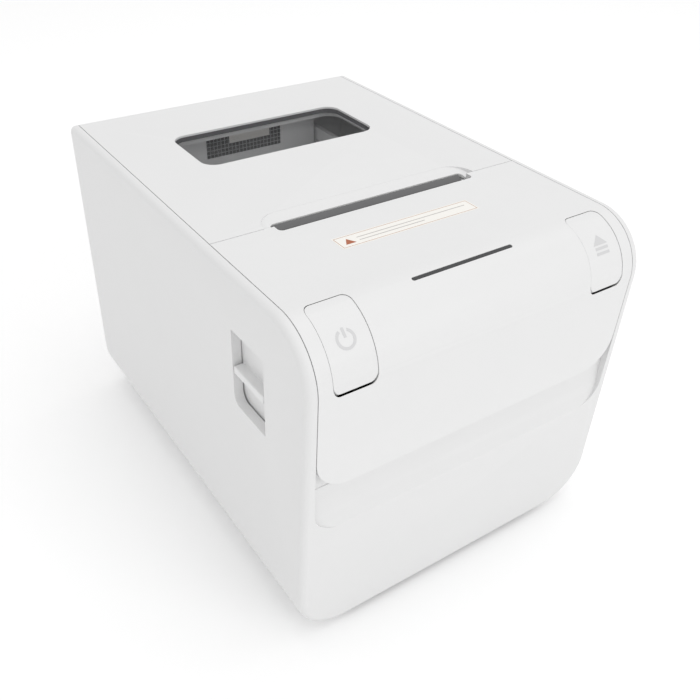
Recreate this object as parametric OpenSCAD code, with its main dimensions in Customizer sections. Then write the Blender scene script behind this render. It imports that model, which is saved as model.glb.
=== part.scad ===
// 80 mm thermal receipt printer with a hinged paper lid and a guillotine cutter.
// Frame: +Z up, the front faces -Y, the origin is on the table under the middle of the case.

/* [Case] */
// Width of the case at its widest
body_w = 141; // [139:0.5:146]
// Depth of the case from the front face to the back
body_d = 190; // [189:0.5:196]
// Height of the case above the table
body_h = 134; // [133.5:0.5:137]
// Radius of the curve from the top into the front
top_front_r = 20; // [19:0.5:22]
// Radius of the two lower corners seen from the front
bottom_r = 20; // [18:0.5:22]
// How far the front leans back between the curve and the base
front_lean = 4.4; // [3:0.2:5]
// How much narrower each side is at the top
side_draft = 1.4; // [0.8:0.1:1.6]
// Height of the rubber feet
foot_h = 2.5; // [2:0.1:3]

/* [Covers] */
// Thickness of the moulded covers
cover_t = 2.6; // [2.4:0.1:2.8]
// Gap between the covers and the side walls
seam_gap = 0.3; // [0.3:0.05:0.5]
// Place of the seam between front cover and lid
seam_y = -30; // [-30.5:0.1:-29.5]
// Width of the paper slot
slot_w = 84; // [82:0.5:86]
// Width of the lid window
window_w = 78.5; // [74:0.5:80]
// Depth of the lid window
window_d = 34; // [30:0.5:35]
// Width of each button
button_w = 15.6; // [15:0.1:16]

/* [Paper path] */
// Radius of the platen rubber
platen_r = 6.5; // [6.2:0.05:6.6]
// Teeth of the platen gear
platen_teeth = 16; // [16:1:16]
// Teeth of the upper idler gear
upper_idler_teeth = 22; // [22:1:22]
// Teeth of the lower idler gear
lower_idler_teeth = 20; // [20:1:20]
// Teeth of the feed motor pinion
feed_teeth = 10; // [10:1:10]
// Radius of the paper roll space
roll_r = 42.5; // [41:0.5:42.5]

/* [Cutter] */
// Travel of the moving blade
blade_travel = 10; // [8:0.5:10]
// Teeth of each rack pinion
rack_teeth = 12; // [12:1:12]
// Teeth of the cutter motor pinion
cutter_teeth = 10; // [10:1:10]

/* [Hidden] */
$fn = 64;
half_w = body_w / 2;
y_front = -body_d / 2;
y_back = body_d / 2;
wall = 3.4;
front_t = 3;
back_r = 3;
curve_y = y_front + top_front_r;
curve_z = body_h - top_front_r;
lean_slope = front_lean / (curve_z - foot_h);
inner_half = half_w - side_draft - wall + 0.1;
cover_half = inner_half - seam_gap;
cove_z = 56;
cove_depth = 2.6;
cove_r = 80;
cover_low_z = 75;
tongue_in = cover_t + 0.2;
hinge_y = y_back - 6.5;
hinge_z = body_h - 6.5;
pin_r = 2;
running = 0.04;
window_y = 42.5;
pocket_y = [-69.8, -48.9];
pocket_z = [84, 113.5];
platen_y = -19;
platen_z = 110;
head_tilt = 15;
head_gap = 0.35;
shaft_r = 3;
gear_x = 50.5;
gear_t = 4;
plate_x = 45;
plate_t = 1.5;
upper_y = platen_y + (platen_teeth + upper_idler_teeth) / 2 * 0.161;
upper_z = platen_z - (platen_teeth + upper_idler_teeth) / 2 * 0.987;
lower_y = upper_y - (upper_idler_teeth + lower_idler_teeth) / 2 * 0.6;
lower_z = upper_z - (upper_idler_teeth + lower_idler_teeth) / 2 * 0.8;
feed_y = lower_y - (lower_idler_teeth + feed_teeth) / 2;
feed_z = lower_z;
rack_y = -50;
rack_z = 112.5;
motor_turn = 225;
cutter_y = rack_y + (rack_teeth + cutter_teeth) / 2 * cos(motor_turn);
cutter_z = rack_z + (rack_teeth + cutter_teeth) / 2 * sin(motor_turn);
latch_y = -34;
latch_z = 90;
bin_y = 38;
bin_z = 78;
bin_top = 118;
bin_half = 41.5;
board_z = 10;
liner_low = 128.4;
apron_y = 76;
blade_low = 122.9;
button_x = 52.6;
light_x = -2.4;
button_v0 = -14.5;
button_v1 = 12.4;
head_pin_a = -2.8;
head_pin_b = -13.5;
base_screw_x = 42;
base_screw_y = [-84, 84.5];
foot_x = 38;
foot_y = 70;
post_x = 40;
post_y = [-54, -18];
stays = [[-44, 10], [44, 10], [-30, 70], [30, 70]];
bin_screw_x = 56;
bin_screw_y = [12, 64];
liner_screw_x = 48;
liner_screw_y = [-10, 30, 64];
cover_screw_x = 58;
cover_screw_y = -35;
line_upper = atan2(upper_z - platen_z, upper_y - platen_y);
line_lower = atan2(lower_z - upper_z, lower_y - upper_y);
phase_upper = mesh_phase(0, line_upper, platen_teeth, upper_idler_teeth);
phase_lower = mesh_phase(phase_upper, line_lower, upper_idler_teeth, lower_idler_teeth);
phase_feed = mesh_phase(phase_lower, 180, lower_idler_teeth, feed_teeth);
white = [0.93, 0.93, 0.92];
dark = [0.16, 0.16, 0.17];
grey = [0.42, 0.43, 0.44];
steel = [0.74, 0.75, 0.77];

// Extrude a (y, z) drawing from x0 to x1.
module along_x(x0, x1) {
    translate([x0, 0, 0]) rotate([90, 0, 90]) linear_extrude(x1 - x0) children();
}

// Extrude an (x, z) drawing from y0 to y1.
module along_y(y0, y1) {
    translate([0, y1, 0]) rotate([90, 0, 0]) linear_extrude(y1 - y0) children();
}

// A box from its lowest to its highest corner.
module block(low, high) {
    translate(low) cube(high - low);
}

// A flat rectangle with round corners, centred.
module round_rect(w, d, r) {
    union() {
        square([w - 2 * r, d], center = true);
        square([w, d - 2 * r], center = true);
        for (x = [-1, 1], y = [-1, 1]) translate([x * (w / 2 - r), y * (d / 2 - r)]) circle(r);
    }
}

// A rod along X.
module rod_x(x0, x1, y, z, r) {
    translate([x0, y, z]) rotate([0, 90, 0]) cylinder(h = x1 - x0, r = r);
}

// Outer face of the front at a height below the curve.
function front_y(z) = y_front + lean_slope * (curve_z - z);

// The case seen from the side, moved inwards by inset.
module side_profile(inset, low) {
    union() {
        translate([curve_y, curve_z]) circle(top_front_r - inset);
        translate([y_back - back_r, body_h - back_r]) circle(max(back_r - inset, 0.3));
        polygon([
            [curve_y, body_h - inset], [y_front + inset, curve_z], [front_y(low) + inset, low],
            [y_back - inset, low], [y_back - inset, body_h - back_r],
            [y_back - back_r, body_h - inset]]);
    }
}

// The case seen from the front, moved inwards by inset.
module front_profile(inset, low) {
    flat = half_w - bottom_r;
    union() {
        for (side = [-1, 1]) translate([side * flat, foot_h + bottom_r]) circle(bottom_r - inset);
        polygon([
            [-flat, low], [flat, low], [half_w - inset, foot_h + bottom_r],
            [half_w - side_draft - inset, body_h + 1], [inset + side_draft - half_w, body_h + 1],
            [inset - half_w, foot_h + bottom_r]]);
    }
}

module case_solid(side_inset, end_inset, low) {
    intersection() {
        along_x(-half_w - 5, half_w + 5) side_profile(end_inset, low);
        along_y(y_front - 5, y_back + 5) front_profile(side_inset, low);
    }
}

// A rectangle with round lower corners, drawn in (x, z).
module low_rounded(half, low, high, r) {
    union() {
        for (side = [-1, 1]) translate([side * (half - r), low + r]) circle(r);
        polygon([
            [r - half, low], [half - r, low], [half, low + r], [half, high], [-half, high],
            [-half, low + r]]);
    }
}

// Cylinder that hollows the cove between the lower front and the front cover.
module cove_cut() {
    base = [front_y(cove_z), cove_z];
    top = [front_y(cover_low_z + 1) + cove_depth, cover_low_z + 1];
    chord = top - base;
    half_chord = norm(chord) / 2;
    out = [-chord[1], chord[0]] / norm(chord);
    centre = (base + top) / 2 + out * sqrt(cove_r * cove_r - half_chord * half_chord);
    intersection() {
        along_y(y_front - 10, y_front + 15) low_rounded(inner_half, cove_z, cover_low_z + 1, 10);
        rod_x(-half_w, half_w, centre[0], centre[1], cove_r);
    }
}

module connector_holes() {
    translate([-42, 0, board_z + 9.6]) rotate([-90, 0, 0]) cylinder(h = 120, r = 6.6);
    block([-24.3, 60, board_z + 1.4], [-11.7, 120, board_z + 13]);
    block([-2.3, 60, board_z + 1.4], [14.3, 120, board_z + 15.4]);
    block([22.7, 60, board_z + 1.4], [36.3, 120, board_z + 15.4]);
}

module housing() {
    color(white) union() {
        difference() {
            case_solid(0, 0, foot_h);
            case_solid(wall, front_t, foot_h + wall);
            along_x(-inner_half, inner_half) polygon([
                [y_front - 5, cover_low_z], [y_back - 14, cover_low_z], [y_back - 14, hinge_z],
                [y_back + 5, hinge_z], [y_back + 5, body_h + 5], [y_front - 5, body_h + 5]]);
            rod_x(-inner_half, inner_half, hinge_y, hinge_z, 9.7);
            cove_cut();
            difference() {
                block([-half_w - 5, pocket_y[0], pocket_z[0]], [-half_w + 6, pocket_y[1], pocket_z[1]]);
                pocket_corner();
            }
            block([-48.4, y_front + 7, 0], [48.4, y_back - 5, foot_h + 5]);
            rod_x(-inner_half - 2.1, inner_half + 2.1, hinge_y, hinge_z, pin_r);
            connector_holes();
        }
        // Backing of the cove, which carries on as a tongue behind the foot of the front cover.
        along_x(-inner_half - 0.5, inner_half + 0.5) polygon([
            [front_y(52) + tongue_in, 52], [front_y(86) + tongue_in, 86],
            [front_y(86) + tongue_in + 2.6, 86], [front_y(52) + tongue_in + 2.6, 52]]);
        // Back wall of the lever pocket and the lipped rails that the lever slides between.
        block([-62.2, -73, 102.5], [-60.8, -45.6, 117]);
        block([-67.5, -73, 115.5], [-62, -45.6, 117]);
        for (y = [-73, -46.8]) block([-67.5, y, 66], [-62, y + 1.2, 117]);
        for (y = [-73, -48.6]) block([-63.3, y, 66], [-62, y + 3, 102.6]);
        block([-67.5, -71, 60], [-58, -61, 62]);
        // Bosses for the paper bin, the front cover and the base plate.
        for (side = [-1, 1], y = bin_screw_y) bin_boss(side, y);
        for (side = [-1, 1]) cover_boss(side);
        for (side = [-1, 1], y = base_screw_y) base_boss(side, y);
    }
}

// Fills the lower rear corner of the lever pocket to a radius.
module pocket_corner() {
    r = 4;
    along_x(-half_w - 6, -half_w + 7) difference() {
        translate([pocket_y[1] - r, pocket_z[0] - 1]) square([r + 1, r + 1]);
        translate([pocket_y[1] - r, pocket_z[0] + r]) circle(r);
    }
}

module bin_boss(side, y) {
    difference() {
        block([side > 0 ? 52 : 3 - half_w, y - 4, 74], [side > 0 ? half_w - 3 : -52, y + 4, 84]);
        translate([side * bin_screw_x, y, 76]) cylinder(h = 10, r = 1.25);
    }
}

module cover_boss(side) {
    difference() {
        block([side > 0 ? 54 : 3 - half_w, cover_screw_y - 4, 115],
            [side > 0 ? half_w - 3 : -54, cover_screw_y + 4, 118]);
        translate([side * cover_screw_x, cover_screw_y, 110]) cylinder(h = 12, r = 1.7);
    }
}

module base_boss(side, y) {
    reach = y < 0 ? [y_front + 5.5, -80] : [81, y_back - 1];
    difference() {
        block([side * base_screw_x - 4, reach[0], foot_h + 2.5], [side * base_screw_x + 4, reach[1], 9.6]);
        translate([side * base_screw_x, y, 0]) cylinder(h = 12, r = 1.25);
    }
}

module base_plate() {
    color(grey) difference() {
        union() {
            block([-48, y_front + 7.4, foot_h], [48, y_back - 5.4, foot_h + 2.5]);
            for (p = stays) translate([p[0], p[1], foot_h + 2]) cylinder(h = board_z - foot_h - 2, r = 3);
            for (side = [-1, 1], y = post_y) mech_post(side * post_x, y);
        }
        for (p = stays) translate([p[0], p[1], 5]) cylinder(h = 10, r = 1);
        for (side = [-1, 1], y = post_y) translate([side * post_x, y, 40]) cylinder(h = 30, r = 1.25);
        for (x = [-foot_x, foot_x], y = [-foot_y, foot_y]) translate([x, y, -1]) cylinder(h = foot_h + 1.8, r = 7);
        for (side = [-1, 1], y = base_screw_y) translate([side * base_screw_x, y, 0]) cylinder(h = 10, r = 1.7);
    }
}

// Post that carries one corner of the print mechanism.
module mech_post(x, y) {
    translate([x, y, foot_h + 2]) cylinder(h = 56 - foot_h - 2, r = 4);
    block([x - 0.8, y - 8, foot_h + 2], [x + 0.8, y + 8, 30]);
    block([x - 8, y - 0.8, foot_h + 2], [x + 8, y + 0.8, 30]);
}

module rubber_feet() {
    color(dark) for (x = [-foot_x, foot_x], y = [-foot_y, foot_y]) translate([x, y, 0]) difference() {
        cylinder(h = foot_h + 0.8, r = 7);
        translate([0, 0, -1]) cylinder(h = 1.6, r = 2.2);
    }
}

// A pan-head screw pointing up, with a cross slot in its head.
module screw(r, head_r, head_h, length) {
    difference() {
        union() {
            cylinder(h = head_h, r = head_r);
            cylinder(h = head_h + length, r = r);
        }
        for (turn = [0, 90]) rotate([0, 0, turn])
            block([-head_r * 0.6, -0.25, -1], [head_r * 0.6, 0.25, head_h * 0.6]);
    }
}

module base_screws() {
    color(steel) for (side = [-1, 1], y = base_screw_y)
        translate([side * base_screw_x, y, foot_h - 1.8]) screw(1.25, 2.8, 1.8, 6.6);
}

// Button outline drawn square to the shoulder of the case.
module on_shoulder(low, high) {
    translate([0, curve_y, curve_z]) rotate([45, 0, 0]) translate([0, 0, low])
        linear_extrude(high - low) children();
}

// Outline of a button, or of its opening when grown by a gap.
module button_outline(gap, drop) {
    translate([0, (button_v0 + button_v1 - drop) / 2])
        round_rect(button_w + 2 * gap, button_v1 - button_v0 + 2 * gap + drop, 2.6);
}

module cover_shell(thick) {
    intersection() {
        difference() {
            along_x(-cover_half, cover_half) side_profile(0, 60);
            along_x(-cover_half - 1, cover_half + 1) side_profile(thick, 59);
        }
        along_y(y_front - 5, seam_y) low_rounded(cover_half, cover_low_z + 0.3, body_h + 1, 13);
    }
}

module front_cover() {
    color(white) difference() {
        union() {
            cover_shell(cover_t);
            for (side = [-1, 1]) translate([side * cover_screw_x, cover_screw_y, 118])
                cylinder(h = body_h - 118 - 1.2, r = 3.2);
            for (side = [-1, 1]) translate([side * 30, 0, 0]) on_shoulder(7.6, 18.5) circle(2.6);
            block([-cover_half + 2, -41.5, body_h - 6], [cover_half - 2, -40, body_h - 1.2]);
        }
        for (side = [-1, 1]) translate([side * cover_screw_x, cover_screw_y, 110]) cylinder(h = 20, r = 1.25);
        for (side = [-1, 1]) translate([side * 30, 0, 0]) on_shoulder(5, 17) circle(1);
        for (side = [-1, 1]) translate([side * button_x, 0, 0]) on_shoulder(4, 40) button_outline(0.2, 0.5);
        light_slot(0.1, 10);
        paper_slot();
    }
}

// The paper slot, cut into the rear edge of the cover and the front edge of the lid.
module paper_slot() {
    translate([0, seam_y - 0.1, body_h - 10]) linear_extrude(20) round_rect(slot_w, 7.8, 1.8);
}

// Rounded strip of the status light, square to the curve of the cover.
module light_slot(gap, low) {
    translate([light_x, curve_y, curve_z]) rotate([16.3, 0, 0]) translate([0, 0, low])
        linear_extrude(top_front_r - low + (gap > 0 ? 5 : -0.05))
            round_rect(41 + 2 * gap, 1.3 + 2 * gap, 0.6 + gap);
}

module light_bar() {
    color([0.2, 0.21, 0.23]) light_slot(0, 14.5);
}

module cover_screws() {
    color(steel) for (side = [-1, 1]) translate([side * cover_screw_x, cover_screw_y, 113.4])
        screw(1.25, 2.8, 1.6, 12);
}

// A curved key that is cut from the shoulder, with a stem on to its switch.
module push_key(side) {
    translate([side * button_x, 0, 0]) union() {
        intersection() {
            difference() {
                along_x(-20, 20) side_profile(0.15, 60);
                along_x(-21, 21) side_profile(2.2, 59);
            }
            on_shoulder(4, 40) button_outline(0, 0);
        }
        on_shoulder(12.4, 18.2) square([3, 3], center = true);
        rod_x(-6.5, 6.5, curve_y - 0.6, body_h - 3.2, 1);
    }
}

module power_button() {
    color(white) push_key(-1);
}

module feed_button() {
    color(white) push_key(1);
}

module notice_sticker() {
    color([0.97, 0.96, 0.93]) block([-31, -55.4, body_h], [26.3, -47.6, body_h + 0.08]);
}

module key_board() {
    color([0.1, 0.35, 0.2]) difference() {
        on_shoulder(6, 7.6) square([120, 14], center = true);
        for (side = [-1, 1]) translate([side * 30, 0, 0]) on_shoulder(5, 9) circle(1.3);
    }
}

module key_screws() {
    color(steel) for (side = [-1, 1]) translate([side * 30, curve_y, curve_z]) rotate([45, 0, 0])
        translate([0, 0, 4.6]) screw(1, 2.2, 1.4, 7);
}

module key_switches() {
    color(dark) union() {
        for (side = [-1, 1]) translate([side * button_x, 0, 0]) {
            on_shoulder(7.6, 10.8) square([6, 6], center = true);
            on_shoulder(10.8, 12.1) circle(1.6);
        }
    }
}

// The lid skin seen from the side, with its skirt cut round the hinge.
module lid_side() {
    intersection() {
        difference() {
            side_profile(0, 60);
            side_profile(cover_t, 59);
        }
        union() {
            polygon([
                [seam_y + seam_gap, hinge_z], [y_back + 1, hinge_z], [y_back + 1, body_h + 1],
                [seam_y + seam_gap, body_h + 1]]);
            translate([hinge_y, hinge_z]) circle(9.25);
        }
    }
}

module rear_lid() {
    color(white) difference() {
        union() {
            along_x(-cover_half, cover_half) lid_side();
            for (side = [-1, 1]) along_x(side * 62 - 2, side * 62 + 2) union() {
                translate([hinge_y, hinge_z]) circle(4.6);
                polygon([
                    [hinge_y - 14, body_h - 2], [hinge_y - 4.4, hinge_z - 1.4],
                    [hinge_y + 4.4, hinge_z + 1.4], [hinge_y + 4.4, body_h - 2]]);
            }
            for (side = [-1, 1])
                block([side * 59.3 - 0.7, -24, body_h - 7], [side * 59.3 + 0.7, 80.6, body_h - 2]);
            block([-59, 79.2, body_h - 5], [59, 80.6, body_h - 2]);
            for (side = [-1, 1], y = liner_screw_y) translate([side * liner_screw_x, y, body_h - 3.1])
                cylinder(h = 1.5, r = 3.4);
        }
        rod_x(-half_w, half_w, hinge_y, hinge_z, pin_r + running);
        translate([0, window_y, body_h - 10]) linear_extrude(20) round_rect(window_w, window_d, 6);
        for (side = [-1, 1], y = liner_screw_y) translate([side * liner_screw_x, y, body_h - 8])
            cylinder(h = 6.8, r = 0.9);
        // Sloping finger recess behind the paper slot, with round ends.
        intersection() {
            translate([0, seam_y - 1, body_h - 10]) linear_extrude(20) round_rect(91, 21, 9);
            along_x(-60, 60) polygon([
                [seam_y - 1, body_h + 1], [seam_y - 1, body_h - 2], [seam_y + 10, body_h + 0.02],
                [seam_y + 10, body_h + 1]]);
        }
        paper_slot();
    }
}

module lid_window() {
    color([0.22, 0.23, 0.25, 0.45]) union() {
        translate([0, window_y, body_h - cover_t - 0.2]) linear_extrude(cover_t - 0.5)
            round_rect(window_w - 0.3, window_d - 0.3, 5.9);
        translate([0, window_y, body_h - cover_t - 1.6]) linear_extrude(1.5)
            round_rect(window_w + 4, window_d + 4, 7);
    }
}

module lid_liner() {
    color(grey) difference() {
        union() {
            block([-54, seam_y + 1, liner_low], [54, apron_y + 1.5, body_h - 3.1]);
            // Apron that closes the back of the roll space behind the window.
            block([-40, apron_y, 104], [40, apron_y + 1.5, liner_low + 1]);
            // Paper guide behind the slot.
            along_x(-41, 41) polygon([
                [seam_y + 1.4, liner_low + 1], [seam_y + 1.6, blade_low + 0.8], [-15, blade_low + 0.8],
                [-11, liner_low + 1]]);
            for (side = [-1, 1]) along_x(side * 43.2 - 1.2, side * 43.2 + 1.2) union() {
                translate([platen_y, platen_z]) circle(7.6);
                polygon([
                    [-29, liner_low + 1], [platen_y - 7.5, platen_z + 1], [platen_y + 7.5, platen_z - 1],
                    [-4, liner_low + 1]]);
            }
            for (x = [-20, 0, 20]) block([x - 0.8, -9, 122], [x + 0.8, 20, liner_low + 1]);
            // Sloping lip that forms the dark rear side of the paper slot.
            along_x(-41, 41) polygon([
                [seam_y + 1, body_h - 3.6], [seam_y + 1, body_h - 2.8], [seam_y + 3.4, body_h - 1.4],
                [seam_y + 3.4, body_h - 3.6]]);
        }
        translate([0, window_y, 100]) linear_extrude(40) round_rect(84.6, 40, 7);
        rod_x(-46, 46, platen_y, platen_z, 5);
        for (side = [-1, 1], y = liner_screw_y) translate([side * liner_screw_x, y, 100]) cylinder(h = 40, r = 1.4);
    }
}

module liner_screws() {
    color(steel) for (side = [-1, 1], y = liner_screw_y)
        translate([side * liner_screw_x, y, liner_low - 1.4]) screw(0.9, 2.2, 1.4, 4);
}

module hinge_pins() {
    middle = inner_half + 2.1 - 5.5;
    color(steel) for (side = [-1, 1]) rod_x(side * middle - 5.5, side * middle + 5.5, hinge_y, hinge_z, pin_r);
}

module fixed_blade() {
    color(steel) block([-41.8, seam_y + 1.6, blade_low], [41.8, -15.5, blade_low + 0.8]);
}

module platen_bushes() {
    color([0.9, 0.88, 0.8]) for (side = [-1, 1]) difference() {
        union() {
            rod_x(side * 44.4 - 2.4, side * 44.4 + 2.4, platen_y, platen_z, 5);
            rod_x(side * 41.5 - 0.5, side * 41.5 + 0.5, platen_y, platen_z, 6);
        }
        rod_x(side * 44 - 8, side * 44 + 8, platen_y, platen_z, shaft_r + running);
    }
}

module platen_shaft() {
    color(steel) rod_x(-50.2, gear_x + gear_t + 1, platen_y, platen_z, shaft_r);
}

module platen_rubber() {
    color([0.13, 0.13, 0.14]) difference() {
        rod_x(-40.6, 40.6, platen_y, platen_z, platen_r);
        rod_x(-60, 60, platen_y, platen_z, shaft_r);
    }
}

// Spur gear of module 1, with a tooth centred at the angle phase.
module gear_flat(teeth, phase, bore) {
    r = teeth / 2;
    difference() {
        union() {
            circle(r - 1.15);
            for (i = [0 : teeth - 1]) rotate(phase + i * 360 / teeth) polygon([
                [r - 1.6, -1.04], [r - 1.15, -1], [r, -0.6], [r + 0.86, -0.26], [r + 0.86, 0.26],
                [r, 0.6], [r - 1.15, 1], [r - 1.6, 1.04]]);
        }
        circle(bore);
    }
}

// Phase that puts a second gear in mesh with a first one.
function mesh_phase(first_phase, line, n1, n2) =
    line + 180 - 180 / n2 - (first_phase - line) * n1 / n2;

module gear_at(y, z, x0, thick, teeth, phase, bore) {
    translate([x0, y, z]) rotate([90, 0, 90]) linear_extrude(thick) gear_flat(teeth, phase, bore);
}

module platen_gear() {
    color([0.92, 0.9, 0.84]) gear_at(platen_y, platen_z, gear_x, gear_t, platen_teeth, 0, shaft_r);
}

module upper_idler() {
    color([0.92, 0.9, 0.84])
        gear_at(upper_y, upper_z, gear_x, gear_t, upper_idler_teeth, phase_upper, pin_r + running);
}

module lower_idler() {
    color([0.92, 0.9, 0.84])
        gear_at(lower_y, lower_z, gear_x, gear_t, lower_idler_teeth, phase_lower, pin_r + running);
}

module feed_pinion() {
    color([0.8, 0.66, 0.32]) union() {
        gear_at(feed_y, feed_z, gear_x, gear_t, feed_teeth, phase_feed, 1.4);
        rod_x(plate_x - 8, gear_x + gear_t + 0.4, feed_y, feed_z, 1.5);
    }
}

module gear_studs() {
    color(steel) for (p = [[upper_y, upper_z], [lower_y, lower_z]]) union() {
        rod_x(plate_x + plate_t, gear_x - 0.3, p[0], p[1], 3.2);
        rod_x(plate_x + plate_t, gear_x + gear_t + 0.6, p[0], p[1], pin_r);
    }
}

// One side plate of the mechanism seen from the side.
module mech_side() {
    difference() {
        polygon([
            [-64, 56], [-4, 56], [-4, 104], [-8, 122], [-32, 122], [-40, 122], [-64, 122]]);
        translate([platen_y, platen_z]) circle(5.4);
        polygon([
            [platen_y - 5.4, platen_z - 0.5], [platen_y + 5.4, platen_z + 0.5],
            [platen_y + 5.8, 123], [platen_y - 9, 123]]);
        translate([feed_y, feed_z]) circle(5.6);
        polygon([[-62, 90], [-50, 90], [-50, 100], [-62, 100]]);
    }
}

module mech_frame() {
    color([0.6, 0.61, 0.63]) difference() {
        union() {
            for (x = [-plate_x - plate_t, plate_x]) along_x(x, x + plate_t) mech_side();
            block([-plate_x, -64, 56], [plate_x, -10, 57.5]);
            block([-plate_x, -64, 57.5], [plate_x, -62.5, 76]);
        }
        block([-34, -56, 50], [34, -20, 60]);
        for (side = [-1, 1], y = post_y) translate([side * post_x, y, 50]) cylinder(h = 10, r = 1.7);
        rod_x(-60, 60, latch_y, latch_z, 2.5 + running);
        head_turned() rod_x(-60, 60, head_pin_a, head_pin_b, 1.5);
    }
}

module frame_screws() {
    color(steel) for (side = [-1, 1], y = post_y) translate([side * post_x, y, 59.3]) rotate([180, 0, 0])
        screw(1.25, 2.8, 1.8, 10);
}

// Local frame of the head: first axis towards the platen, second up along the heating line.
module head_turned() {
    reach = platen_r + head_gap;
    translate([0, platen_y - reach * cos(head_tilt), platen_z - reach * sin(head_tilt)])
        rotate([head_tilt, 0, 0]) children();
}

module print_head() {
    color([0.86, 0.83, 0.74]) head_turned() union() {
        block([-41, -0.8, -11], [41, 0, 5]);
        block([-41, -1.6, -11], [-33, -0.8, -10]);
    }
}

module head_heatsink() {
    color([0.7, 0.72, 0.74]) head_turned() difference() {
        union() {
            block([-43, -4.8, -16], [43, -1.6, 7]);
            block([-43, -1.6, -9.9], [43, -0.8, 7]);
            rod_x(-43, 43, head_pin_a, head_pin_b, 2.5);
        }
        rod_x(-50, 50, head_pin_a, head_pin_b, 1.5 + running);
        for (x = [-30 : 10 : 30]) block([x - 3, -6, -8], [x + 3, -3.4, 9]);
    }
}

module head_pin() {
    color(steel) head_turned() rod_x(-47, 47, head_pin_a, head_pin_b, 1.5);
}

module spring_bracket() {
    color([0.6, 0.61, 0.63]) head_turned() union() {
        block([-plate_x, -13.4, -10], [plate_x, -12, -2]);
        block([-40, -13.4, -2], [40, -12, 5]);
        for (x = [-26, 26]) translate([x, -12, 0]) rotate([-90, 0, 0]) cylinder(h = 2.5, r = 1.5);
    }
}

// Round-wire compression spring standing on Z.
module coil(radius, wire, length, turns) {
    sides = 6;
    steps = 12 * turns;
    ring = [for (i = [0 : steps]) [for (k = [0 : sides - 1])
        let (a = i * 360 * turns / steps, b = k * 360 / sides)
        [(radius + wire * cos(b)) * cos(a), (radius + wire * cos(b)) * sin(a),
            wire + (length - 2 * wire) * i / steps + wire * sin(b)]]];
    points = [for (row = ring) for (p = row) p];
    skin = [for (i = [0 : steps - 1]) for (k = [0 : sides - 1]) for (half = [0, 1])
        let (a = i * sides + k, b = i * sides + (k + 1) % sides)
        half == 0 ? [a, a + sides, b] : [b, a + sides, b + sides]];
    start_cap = [for (k = [0 : sides - 1]) k];
    end_cap = [for (k = [sides - 1 : -1 : 0]) steps * sides + k];
    polyhedron(points, concat(skin, [start_cap, end_cap]), convexity = 8);
}

module head_springs() {
    color(steel) head_turned() for (x = [-26, 26]) translate([x, -11.95, 0]) rotate([-90, 0, 0])
        coil(2.2, 0.3, 7, 5);
}

module latch_shaft() {
    color(grey) union() {
        rod_x(-49.6, 49.6, latch_y, latch_z, 2.5);
        for (side = [-1, 1]) along_x(side * 48.5 - 1.1, side * 48.5 + 1.1) latch_hook();
        along_x(-49.6, -47.4) polygon([
            [latch_y, latch_z - 3], [latch_y, latch_z + 3], [-60, latch_z + 3], [-60, latch_z]]);
    }
}

// Hook that stands over the end of the platen shaft.
module latch_hook() {
    union() {
        translate([latch_y, latch_z]) circle(4.5);
        polygon([
            [latch_y - 3, latch_z], [latch_y + 3.6, latch_z - 1], [-26, 106], [-25.4, 112.4],
            [-24.3, 114.6], [-27, 118], [-31, 116], [-32, 106]]);
    }
}

module feed_motor() {
    color([0.62, 0.63, 0.65]) difference() {
        union() {
            rod_x(22, plate_x, feed_y, feed_z, 14.5);
            rod_x(plate_x - 1, plate_x + plate_t + 0.4, feed_y, feed_z, 5);
        }
        rod_x(plate_x - 9, plate_x + plate_t + 1, feed_y, feed_z, 1.5 + running);
    }
}

// Frame of the cutter: two cheeks, a front wall and a plate for the motor.
module cutter_frame() {
    color([0.6, 0.61, 0.63]) difference() {
        union() {
            for (side = [-1, 1])
                block([side * 43.8 - 1.2, -68.5, 104], [side * 43.8 + 1.2, -41.5, blade_low]);
            block([-plate_x, -69.5, 97], [plate_x, -68, blade_low]);
            block([26, -68.5, 97], [27.5, -44, 117]);
        }
        rod_x(-50, 50, rack_y, rack_z, 2 + running);
        rod_x(25, 29, cutter_y, cutter_z, 3);
    }
}

module cutter_cover() {
    color([0.68, 0.69, 0.71]) difference() {
        block([-plate_x, -69.5, blade_low], [plate_x, -33, blade_low + 0.8]);
        for (x = [-30, 0, 30]) translate([x, -58, 120]) cylinder(h = 6, r = 4);
    }
}

// Shallow V edge that shears across the paper.
module moving_blade() {
    color(steel) translate([0, 0, 121.6]) linear_extrude(0.8) polygon([
        [-41.4, -60], [41.4, -60], [41.4, -32], [0, -35], [-41.4, -32]]);
}

module blade_carrier() {
    pitch = PI;
    root_z = rack_z + rack_teeth / 2 + 1.2;
    color(grey) union() {
        block([-41.4, -63, 120.7], [41.4, -48, 121.6]);
        for (side = [-1, 1]) {
            block([side * 33 - 2.5, -64, root_z], [side * 33 + 2.5, -41, 120.8]);
            along_x(side * 33 - 2.5, side * 33 + 2.5) for (i = [-4 : 2])
                translate([rack_y + (i + 0.5) * pitch, root_z]) polygon([
                    [-1, 0.1], [-1, 0], [-0.6, -1.2], [-0.26, -2.05], [0.26, -2.05], [0.6, -1.2],
                    [1, 0], [1, 0.1]]);
        }
    }
}

module cutter_shaft() {
    color([0.7, 0.71, 0.73]) union() {
        rod_x(-44.9, 44.9, rack_y, rack_z, 2);
        for (side = [-1, 1]) gear_at(rack_y, rack_z, side * 33 - 2.5, 5, rack_teeth, 90, 1.9);
    }
}

module cutter_motor() {
    color([0.62, 0.63, 0.65]) difference() {
        union() {
            rod_x(2, 26, cutter_y, cutter_z, 7.9);
            rod_x(-1, 3, cutter_y, cutter_z, 4);
            rod_x(25, 28.5, cutter_y, cutter_z, 2.6);
        }
        rod_x(20, 30, cutter_y, cutter_z, 1 + running);
    }
}

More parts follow.
